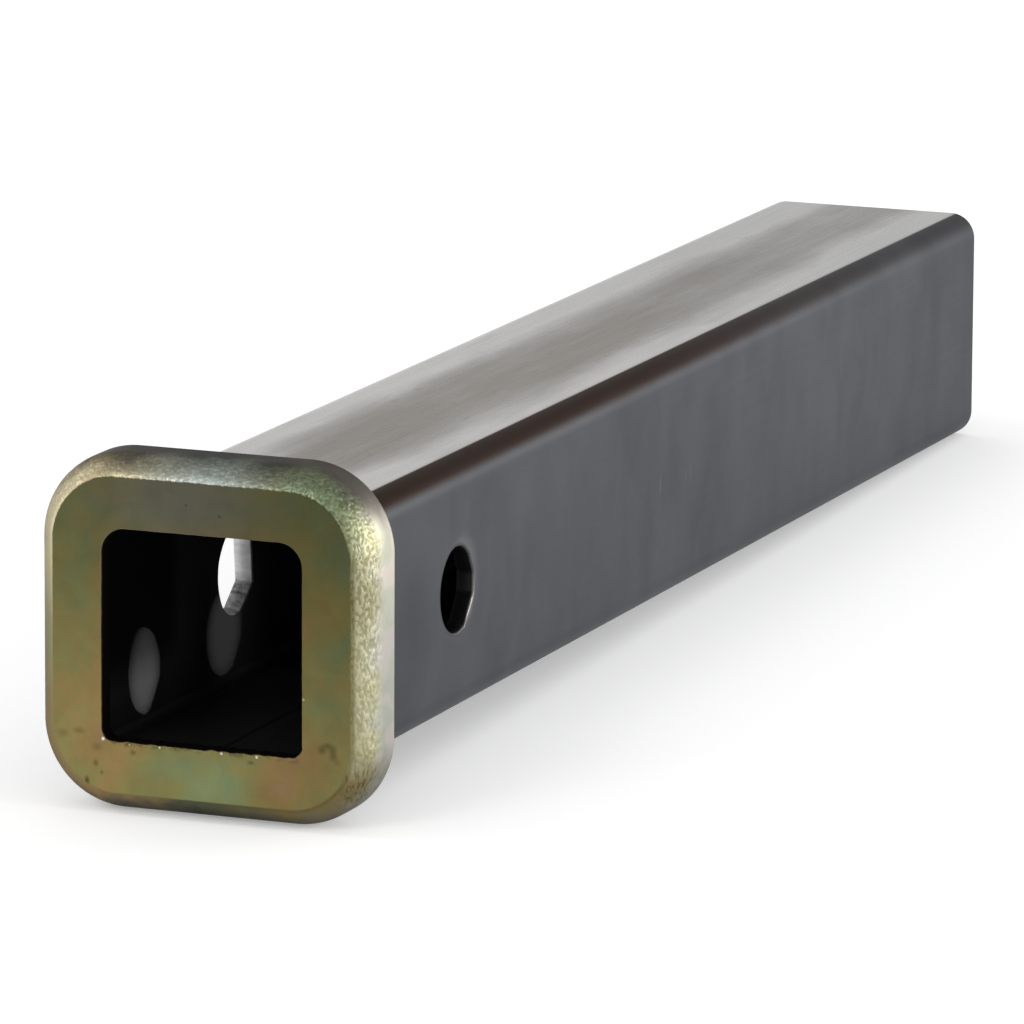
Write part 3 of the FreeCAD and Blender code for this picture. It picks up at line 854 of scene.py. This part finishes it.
# ---- the collar's zinc
zincLook = {
    # the film's thickness, and its tones from thin to thick
    "slow": {"size": 15, "detail": 2, "distortion": 0.6}, "slowShare": 0.6,
    "soft": {"size": 6, "detail": 1, "roughness": 0.4, "distortion": 0.8, "move": (0.1, 0.4, 0.3)},
    "softShare": (0.55, -0.21),
    "patchy": {"size": 5, "roughness": 0.55, "distortion": 0.4, "move": (0.3, 0.1, 0.2)},
    "speck": {"size": 0.55, "detail": 2, "roughness": 0.6},
    "filmDown": (12, -22, 0.0, 0.08), "filmEdge": (2.6, 0, 0.0, 0.13),
    "filmTones": (
        (0.02, (0.80, 1.06, 0.60)), (0.16, (0.87, 1.045, 0.50)), (0.30, (0.98, 1.01, 0.43)),
        (0.44, (1.10, 0.99, 0.38)), (0.56, (1.21, 0.965, 0.36)), (0.70, (1.35, 0.925, 0.37)),
        (0.84, (1.38, 0.90, 0.48)), (0.98, (1.20, 0.95, 0.60)),
    ),
    # right and up from the middle of the face, radius, shift of the film
    "filmPatches": (
        (-15, -21, 13, 0.20), (-4, -21.5, 13, -0.26), (5.5, -23, 7, -0.13),
        (13, -21.5, 7, 0.26), (-22, -12, 12, 0.10), (-21, -2, 12, 0.10),
        (24.5, 1, 6, -0.10), (21, 20, 14, -0.06), (-17, 19, 9, 0.06),
        (9, 20, 6, 0.06), (21, 7, 8, 0.06), (-24, -22, 6, -0.08),
        (21, -9, 6, -0.05), (-24, 12, 6, 0.06),
    ),
    "greyed": (-3, 22, 19, (1.25, 1, 0.6)), "greyedShare": 0.9, "greyedTone": (1.0, 0.98, 0.76),
    # the faced front: a painted reflection, dark at the top and brighter towards the bottom;
    # brighter towards the left too, and a painted pool of light low in the middle
    "faceUp": (25, -26, 0.086, 0.188), "faceAcross": (-22, 24, 1.10, 0.82),
    "facePatchy": (0.5, 0.75), "lit": (2, -22.5, 10), "litShare": (0.25, 1.0),
    # a hooked scar, pits and smudges: right, up, radius, stretch, strength
    "pits": (
        (20.2, -15.0, 1.1, 1.0, 0.50), (21.1, -14.3, 1.2, 0.7, 0.46), (22.0, -14.9, 1.1, 1.0, 0.44),
        (22.1, -15.9, 1.1, 1.0, 0.42), (22.7, -16.8, 1.1, 0.8, 0.22),
        (-19.3, -23.4, 0.7, 1.6, 0.7), (-17.8, -20.5, 0.7, 1.2, 0.5), (-16.8, -21.9, 0.5, 1.0, 0.5),
        (-20.6, -15.6, 1.6, 0.5, 0.35), (-17.6, -17.9, 1.3, 0.8, 0.3),
        (-23.4, -16.2, 1.5, 0.7, 0.3),
        (-11.5, -18.3, 0.7, 1.0, 0.5), (8.3, -18.1, 0.9, 0.6, 0.5), (3.1, 20.1, 0.4, 1.0, 0.6),
        (-2.5, 21.4, 0.35, 1.0, 0.5),
    ),
    "pitted": (0.022, 0.017, 0.008),
    # a smear of burr under the opening's lower edge, darkened also as painted shadow under the
    # burrs
    "burrs": {"size": 2.4, "detail": 4, "roughness": 0.65, "distortion": 1.0,
              "scale": (1, 1, 1.6), "move": (0.7, 0, 0)},
    "burrRange": (0.42, 0.66), "burrDown": (-1.0, -0.1), "burrAcross": (0, -1),
    "lowerHalf": (0, -2), "burrShare": 0.75, "burrSmearAndShadow": (0.025, 0.018, 0.008),
    # painted glints, bright specks on the burr: right, up, radius, strength
    "glints": (
        (-16.55, -16.55, 0.42, 1.0), (-7.0, -17.12, 0.30, 0.7), (-12.1, -17.1, 0.24, 0.4),
        (3.4, -17.12, 0.36, 0.7), (9.3, -17.15, 0.34, 0.8), (17.1, -7.4, 0.28, 0.4),
    ),
    "glinting": (0.90, 0.86, 0.72),
    # the forged band and the flank behind it, round the collar from the left by way of the bottom,
    # in their own tones with painted shade underneath, at the lower right corner and along the
    # flank's top, and painted highlights at the upper right and upper left
    "bandTonesAndShade": (
        (0.0, (0.27, 0.26, 0.19)), (0.08, (0.24, 0.20, 0.12)), (0.16, (0.28, 0.20, 0.12)),
        (0.25, (0.11, 0.12, 0.09)), (0.33, (0.17, 0.145, 0.075)), (0.385, (0.16, 0.135, 0.075)),
        (0.42, (0.38, 0.38, 0.29)), (0.50, (0.45, 0.44, 0.35)), (0.545, (0.36, 0.345, 0.265)),
        (0.575, (0.38, 0.36, 0.28)), (0.60, (0.36, 0.365, 0.275)), (0.63, (0.29, 0.35, 0.25)),
        (0.68, (0.23, 0.25, 0.21)), (0.75, (0.42, 0.47, 0.50)),
        (0.83, (0.38, 0.34, 0.26)), (0.90, (0.55, 0.48, 0.40)), (1.0, (0.27, 0.26, 0.19)),
    ),
    "flankTonesAndShade": (
        (0.0, (0.22, 0.21, 0.16)), (0.25, (0.06, 0.06, 0.05)), (0.36, (0.18, 0.16, 0.12)),
        (0.42, (0.48, 0.46, 0.42)), (0.50, (0.52, 0.50, 0.46)), (0.57, (0.68, 0.65, 0.56)),
        (0.62, (0.26, 0.22, 0.20)), (0.68, (0.10, 0.095, 0.08)), (0.75, (0.09, 0.09, 0.085)),
        (0.88, (0.14, 0.13, 0.11)), (1.0, (0.22, 0.21, 0.16)),
    ),
    # painted shade on the line right behind the faced front on the right, and a painted highlight
    # along it at the upper left
    "rimShadeAndHighlight": (
        (0.0, (1.0, 1.0, 1.0)), (0.25, (0.9, 0.9, 0.8)), (0.38, (0.8, 0.77, 0.65)),
        (0.44, (0.5, 0.48, 0.36)), (0.56, (0.5, 0.48, 0.36)), (0.63, (0.9, 0.9, 0.9)),
        (0.76, (1.1, 1.1, 1.1)), (0.86, (1.5, 1.5, 1.45)),
        (0.93, (1.1, 1.1, 1.05)), (1.0, (1.0, 1.0, 1.0)),
    ),
    "rimDepth": (0.55, 0.2), "faceDepth": (0.01, 0.12),
    "bandWander": 0.03, "bandHue": 0.3,
    "flankRagged": 9 * mm, "flankDepth": (0.8, 6.4),
    "flankUnder": (-20, -27.5, 0.0, 2.6 * mm),   # it reaches further forward under the collar
    "flankHues": (
        (0.30, (1.03, 0.98, 1.01)), (0.45, (1.0, 1.0, 1.0)),
        (0.60, (0.86, 0.92, 0.86)), (0.75, (0.94, 0.95, 0.97)),
    ),
    # painted shade in the grain's valleys
    "creaseRange": (0.1, 0.95), "creaseUp": (-12, 14, 0.42, 0.62), "creaseShade": (0.36, 0.36, 0.24),
    # painted glints on the grain along the top
    "sparkle": {"size": 0.42, "detail": 2, "roughness": 0.55,
                "scale": (0.6, 1, 1), "move": (0.9, 0, 0)},
    "sparkleRange": (0.50, 0.64), "sparkleUp": (17, 23), "sparkleDepth": (5.5, 2.5),
    "sparkling": (1.36, 1.36, 1.32),
    # a painted highlight at the upper right, and scratches at the lower right corner
    "upperRightHighlight": (26.0, 17.8, 6, (1, 1, 1.3), 2.6), "highlightTone": (1.5, 1.5, 1.5),
    "scratch": {"size": 0.45, "detail": 2, "scale": (1, 1, 0.04), "turn": (0, math.radians(14), 0)},
    "scratchRange": (0.50, 0.64), "scratchPlace": (25, -20.5, 8, (1, 1, 1), 3),
    "scratchShare": 0.7, "scratched": (0.35, 0.30, 0.2),
    # inside the opening the forging is painted nearly black, as shade
    "hidden": (0.012, 0.009, 0.008), "hiddenPast": 0.3 * mm, "hiddenReach": (-0.15, 0, 1.0, 0.0),
    "hiddenDepth": (0.02, 0.5), "socketDepth": (3.15, 3.25), "socketReach": (21.3, 21.5, 1.0, 0.0),
    "rough": 0.24, "roughPatchy": 0.2, "roughHidden": 0.3, "roughBand": (0.1, 0.5, 0.0, 0.12),
    "tint": (0.5, 0.5, 0.5, 1),
    "worms": {"size": 0.5, "detail": 1, "distortion": 0.6, "scale": (1, 1, 0.5)},
    "wormDepth": (4.2, 0.3), "wormShare": 2.0, "speckShare": 0.12,
    "bump": (0.05 * mm, 0.5),
}


def zincMaterial():
    # yellow chromate over zinc, with its bands of interference colour
    look = zincLook
    material, tree, shader = newMaterial("yellowZinc")
    place, x, y, z = objectPlace(tree)
    texture, over = readers(tree, place, look)
    front = collarLow.y
    opening = collarShape["openingHalf"]
    up = calc(tree, "SUBTRACT", z, collarMiddle)
    farX, farZ = absolute(tree, x), absolute(tree, up)
    outward = larger(tree, farX, farZ)

    def onFace(right, above, radius, stretch=(1, 1, 1), behind=0):
        centre = Vector((right * mm, front + behind * mm, collarMiddle + above * mm))
        return spot(tree, place, centre, radius * mm, stretch)

    soft, patchy = texture("soft"), texture("patchy")
    film = scaled(tree, soft, *look["softShare"])
    film = scaled(tree, texture("slow"), look["slowShare"], film)
    film = plus(tree, film, over(up, "filmDown"))
    film = plus(tree, film, over(outward, "filmEdge", opening))
    for right, above, radius, shift in look["filmPatches"]:
        film = scaled(tree, onFace(right, above, radius), shift, film)
    greyed = times(tree, onFace(*look["greyed"]), look["greyedShare"])
    hue = blend(tree, greyed, colours(tree, film, look["filmTones"]), look["greyedTone"])

    # the face's level: painted reflection from top to bottom, and a painted pool of light
    level = times(tree, over(up, "faceUp"), scaled(tree, patchy, *look["facePatchy"]),
                  over(x, "faceAcross"), scaled(tree, onFace(*look["lit"]), *look["litShare"]))
    grey = addNode(tree, "ShaderNodeCombineColor", None, i0=level, i1=level, i2=level)
    face = tinted(tree, hue, grey.outputs[0])
    for right, above, radius, stretch, strength in look["pits"]:
        pit = times(tree, onFace(right, above, radius, (1, 1, stretch)), strength)
        face = blend(tree, pit, face, look["pitted"])
    # burr smear and painted shadow under the opening's lower edge
    burr = times(tree, over(up, "burrDown", -opening),
                 fade(tree, texture("burrs"), *look["burrRange"]),
                 over(farX, "burrAcross", opening), over(up, "lowerHalf"), look["burrShare"])
    face = blend(tree, burr, face, look["burrSmearAndShadow"])
    # painted glints on the burr
    for right, above, radius, strength in look["glints"]:
        glint = times(tree, onFace(right, above, radius), strength)
        face = blend(tree, glint, face, look["glinting"])

    # the forged band and the flank, toned round the collar, with painted shade and painted
    # highlights by side
    turn = scaled(tree, calc(tree, "ARCTAN2", up, x), 0.5 / math.pi, 0.5)
    turn = around(tree, patchy, look["bandWander"], turn)
    band = tinted(tree, colours(tree, turn, look["bandTonesAndShade"]),
                  blend(tree, look["bandHue"], (1, 1, 1), hue))
    flank = tinted(tree, colours(tree, turn, look["flankTonesAndShade"]),
                   colours(tree, soft, look["flankHues"]))
    ragged = plus(tree, around(tree, patchy, look["flankRagged"], y), over(up, "flankUnder"))
    side = blend(tree, over(ragged, "flankDepth", front), band, flank)
    # painted shade in the valleys of the grain
    crease = addNode(tree, "ShaderNodeAttribute", {"attribute_name": "crease"}).outputs["Fac"]
    crease = times(tree, fade(tree, crease, *look["creaseRange"]), over(up, "creaseUp"))
    side = tinted(tree, side, look["creaseShade"], crease)
    # painted glints on the grain along the top
    sparkle = times(tree, fade(tree, texture("sparkle"), *look["sparkleRange"]),
                    over(up, "sparkleUp"), over(y, "sparkleDepth", front))
    side = tinted(tree, side, look["sparkling"], sparkle)
    # painted highlight at the upper right
    side = tinted(tree, side, look["highlightTone"], onFace(*look["upperRightHighlight"]))
    scratch = times(tree, fade(tree, texture("scratch"), *look["scratchRange"]),
                    onFace(*look["scratchPlace"]), look["scratchShare"])
    side = tinted(tree, side, look["scratched"], scratch)
    # painted shade and painted highlight along the line behind the faced front
    rim = colours(tree, turn, look["rimShadeAndHighlight"])
    side = tinted(tree, side, rim, over(y, "rimDepth", front))
    colour = blend(tree, over(y, "faceDepth", front), face, side)

    # painted shade inside the opening and the socket
    inner = opening + look["hiddenPast"]
    inX, inZ = (over(far, "hiddenReach", inner) for far in (farX, farZ))
    hidden = times(tree, inX, inZ, over(y, "hiddenDepth", front))
    socket = times(tree, over(y, "socketDepth", front), over(outward, "socketReach"))
    hidden = larger(tree, hidden, socket)
    colour = blend(tree, hidden, colour, look["hidden"])

    rough = scaled(tree, hidden, look["roughHidden"], look["rough"])
    rough = scaled(tree, patchy, look["roughPatchy"], rough)
    rough = plus(tree, rough, over(y, "roughBand", front))
    worm = absolute(tree, calc(tree, "SUBTRACT", texture("worms"), 0.5))
    worm = times(tree, worm, over(y, "wormDepth", front))
    speck = times(tree, texture("speck"), look["speckShare"])
    height = scaled(tree, worm, look["wormShare"], speck)
    connect(tree, shader, colour, rough, bump(tree, height, *look["bump"]), 1.0)
    shader.inputs["Specular Tint"].default_value = look["tint"]
    return material


# ---- the weld's metal
weldLook = {
    "blotch": {"size": 5, "roughness": 0.6},
    "blotchTones": (
        (0.3, (0.07, 0.065, 0.062)), (0.55, (0.13, 0.13, 0.135)), (0.75, (0.20, 0.18, 0.15)),
    ),
    "fine": {"size": 0.35, "detail": 2, "roughness": 0.6},
    "valley": (0.25, 0.95, 0.0, 0.65), "rippleShade": (0.03, 0.029, 0.028),
    "rough": (0.25, 0.28), "metallic": 0.85, "bump": (0.02 * mm, 0.5),
}


def weldMaterial():
    look = weldLook
    material, tree, shader = newMaterial("weldMetal")
    place = objectPlace(tree)[0]
    texture = readers(tree, place, look)[0]
    fine = texture("fine")
    colour = colours(tree, texture("blotch"), look["blotchTones"])
    # painted shade sits in the valleys between the ripples
    ripple = addNode(tree, "ShaderNodeAttribute", {"attribute_name": "ripple"}).outputs["Fac"]
    colour = blend(tree, fade(tree, ripple, *look["valley"]), colour, look["rippleShade"])
    rough = scaled(tree, fine, *look["rough"])
    connect(tree, shader, colour, rough, bump(tree, fine, *look["bump"]), look["metallic"])
    return material


# ---- floor, lamps and world
stageSetup = {
    "floorSize": 40.0, "floorColour": (0.86, 0.86, 0.86, 1), "floorLook": 0.3,
    "worldLight": 0.75, "horizon": (0.26, 0.42), "ceiling": 0.42,
    # name, direction from the object, distance, width, height, power
    "lamps": (
        ("rightStrip", (0.95, -0.02, 0.22), 1.6, 0.5, 1.0, 8),
        ("rearBox", (0.70, 0.695, 0.20), 1.6, 0.9, 0.5, 5),
        ("leftBox", (-0.80, -0.10, 0.55), 1.6, 0.5, 0.5, 3),
        ("frontBox", (-0.25, -0.75, 0.62), 1.8, 0.5, 0.5, 3),
    ),
    # narrow beams through the near hole: name, direction, power, width over height
    "beams": (
        ("rearBeam", (0.70, 0.695, 0.171), 62, 0.56),
        ("sideBeam", (0.956, 0.132, 0.236), 41, 0.90),
    ),
    "beamDistance": 0.9, "beamSize": 0.002, "beamCone": 0.84, "beamBlend": 0.65,
    "beamColour": (1.0, 0.96, 0.91),
}


def whiteForLooks(tree):
    # 1 for the camera, mirrors and glass, 0 for the light that falls on things
    rays = addNode(tree, "ShaderNodeLightPath").outputs
    mirrors = larger(tree, rays["Is Glossy Ray"], rays["Is Transmission Ray"])
    return larger(tree, rays["Is Camera Ray"], mirrors)


def makeFloor():
    # the plane that the collar's lower edge and the tube's rear lower edge rest on
    frontRest = Vector((0, collarHigh.y - collarShape["backEdge"], collarLow.z))
    rearRest = Vector((0, tubeHigh.y, tubeLow.z))
    slope = math.atan2(rearRest.z - frontRest.z, rearRest.y - frontRest.y)
    bpy.ops.object.select_all(action="DESELECT")
    bpy.ops.mesh.primitive_plane_add(size=stageSetup["floorSize"], location=frontRest,
                                     rotation=(slope, 0, 0))
    floor = bpy.context.object
    floor.name = "studioFloor"
    material, tree, shader = newMaterial("paleFloor")
    shader.inputs["Base Color"].default_value = stageSetup["floorColour"]
    shader.inputs["Roughness"].default_value = 1.0
    shader.inputs["Specular IOR Level"].default_value = 0.0
    shader.inputs["Emission Color"].default_value = (1, 1, 1, 1)
    glow = times(tree, whiteForLooks(tree), stageSetup["floorLook"])
    tree.links.new(glow, shader.inputs["Emission Strength"])
    floor.data.materials.append(material)


def addLamp(kind, name, aim, place, power):
    bpy.ops.object.light_add(type=kind, location=place)
    lamp = bpy.context.object
    lamp.name = name
    lamp.rotation_euler = aim.to_track_quat("Z", "Y").to_euler()
    lamp.data.energy = power
    lamp.visible_camera = False
    return lamp


def makeLights():
    for name, direction, distance, width, height, power in stageSetup["lamps"]:
        aim = Vector(direction).normalized()
        lamp = addLamp("AREA", name, aim, aim * distance, power)
        lamp.data.shape = "RECTANGLE"
        lamp.data.size = width
        lamp.data.size_y = height
    hole = Vector((tubeHigh.x - tubeShape["wall"] / 2, 0, 0))
    for name, direction, power, width in stageSetup["beams"]:
        aim = Vector(direction).normalized()
        beam = addLamp("SPOT", name, aim, hole + aim * stageSetup["beamDistance"], power)
        beam.scale = (width, 1, 1)
        beam.data.color = stageSetup["beamColour"]
        beam.data.spot_size = math.radians(stageSetup["beamCone"])
        beam.data.spot_blend = stageSetup["beamBlend"]
        beam.data.shadow_soft_size = stageSetup["beamSize"]


def makeWorld():
    # a white sweep with a dim ceiling above it
    world = bpy.data.worlds.new("studioWorld")
    scene.world = world
    world.use_nodes = True
    tree = world.node_tree
    height = objectPlace(tree, "Generated")[3]
    sweep = fade(tree, height, *stageSetup["horizon"], 1.0, stageSetup["ceiling"])
    strength = addNode(tree, "ShaderNodeMix", {"data_type": "FLOAT"}, i0=whiteForLooks(tree),
                       i2=stageSetup["worldLight"], i3=sweep)
    background = tree.nodes["Background"]
    background.inputs["Color"].default_value = (1, 1, 1, 1)
    tree.links.new(strength.outputs[0], background.inputs["Strength"])


def dress(piece, material, node):
    piece.data.materials.clear()
    piece.data.materials.append(material)
    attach(piece, "root")
    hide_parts(node)
    print(f"{piece.name}: {countTriangles(piece)} triangles")


print("camera, floor and lamps")
makeCamera()
makeFloor()
makeLights()
makeWorld()
scene.view_settings.view_transform = "Standard"

print("collar")
dress(makeCollar(), zincMaterial(), "reinforcing_collar")
print("tube")
dress(makeTube(), steelMaterial(), "square_tube")
print("weld")
dress(makeWeld(), weldMaterial(), "collar_weld")
